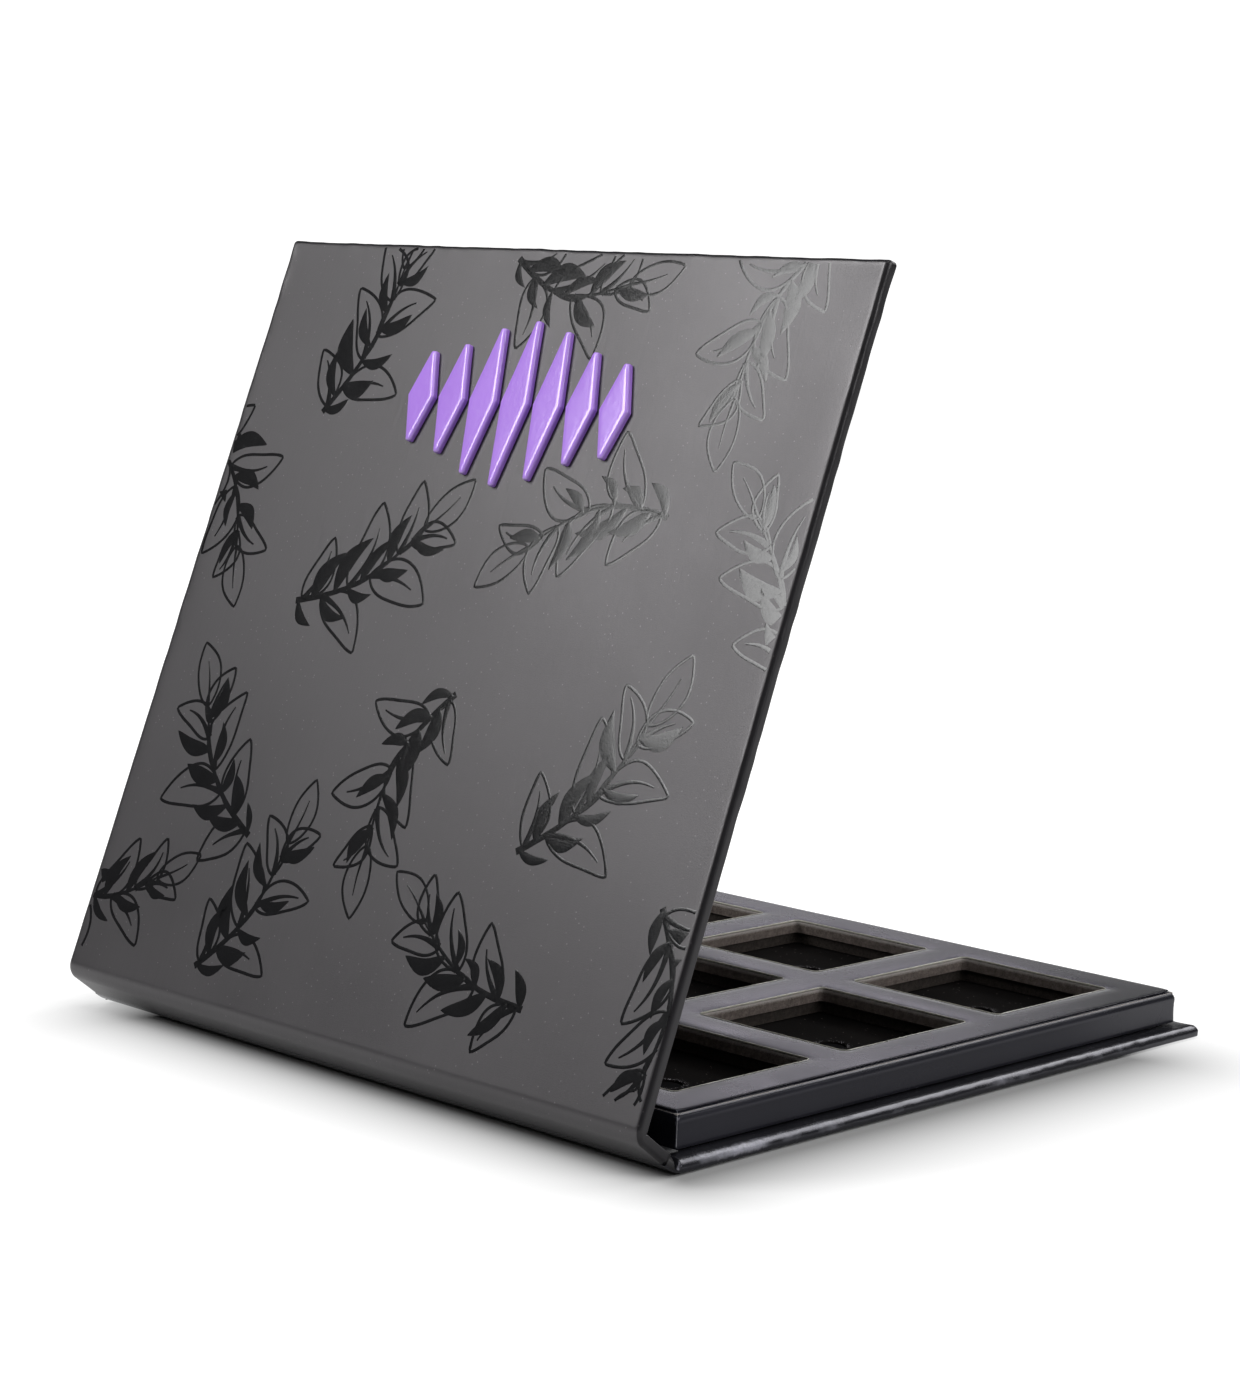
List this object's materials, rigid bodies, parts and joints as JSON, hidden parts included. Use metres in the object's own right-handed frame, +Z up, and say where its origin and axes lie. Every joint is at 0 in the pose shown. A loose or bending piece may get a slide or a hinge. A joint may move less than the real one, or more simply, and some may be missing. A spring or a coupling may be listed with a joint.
{
  "type": "magnetic makeup palette",
  "caption": "Book-shaped board case with a tray of square wells for magnetic make-up pans, under a lid and spine that fold on paper hinges.",
  "frame": {"origin": "middle of the base's underside, on the surface that the palette stands on", "axes": "+Z up; the front edge, where the lid opens, faces -Y and the spine is at +Y; +X is the user's right"},
  "size_m": [0.125, 0.1314, 0.1218],
  "materials": {
    "soft_touch_paper": "matte",
    "black_satin_paper": "satin",
    "black_liner_paper": "matte",
    "greyboard": "matte",
    "black_card": "satin",
    "dark_magnet": "satin",
    "nickel": "satin",
    "violet_gel": "gloss"
  },
  "bodies": {
    "base": {"base_wrap": "black_satin_paper", "base_board": "greyboard", "well_floor": "black_card", "pan_magnet_1": "dark_magnet", "pan_magnet_2": "dark_magnet", "pan_magnet_3": "dark_magnet", "pan_magnet_4": "dark_magnet", "pan_magnet_5": "dark_magnet", "pan_magnet_6": "dark_magnet", "pan_magnet_7": "dark_magnet", "pan_magnet_8": "dark_magnet", "pan_magnet_9": "dark_magnet", "lower_frame": "greyboard", "upper_frame": "greyboard", "tray_closure_magnet_left": "nickel", "tray_closure_magnet_right": "nickel", "tray_side_wrap": "black_satin_paper", "tray_top_sheet": "black_satin_paper", "lower_fold_paper": "soft_touch_paper"},
    "spine": {"spine_wrap": "soft_touch_paper", "spine_board": "greyboard", "spine_liner": "black_liner_paper", "upper_fold_paper": "soft_touch_paper"},
    "lid": {"lid_wrap": "soft_touch_paper", "lid_board": "greyboard", "lid_closure_magnet_left": "nickel", "lid_closure_magnet_right": "nickel", "lid_liner": "black_liner_paper", "lid_lozenge_1": "violet_gel", "lid_lozenge_2": "violet_gel", "lid_lozenge_3": "violet_gel", "lid_lozenge_4": "violet_gel", "lid_lozenge_5": "violet_gel", "lid_lozenge_6": "violet_gel", "lid_lozenge_7": "violet_gel"}
  },
  "joints": [
    {"name": "lower_fold", "type": "hinge", "parent": "base", "child": "spine", "pos_m": [0, 0.062, 0], "axis": [1, 0, 0], "range_deg": [-37, 53], "deforming": ["lower_fold_paper"]},
    {"name": "upper_fold", "type": "hinge", "parent": "spine", "child": "lid", "pos_m": [0, 0.06999, 0.00602], "axis": [1, 0, 0], "range_deg": [-73.7, 16.3], "deforming": ["upper_fold_paper"]}
  ]
}
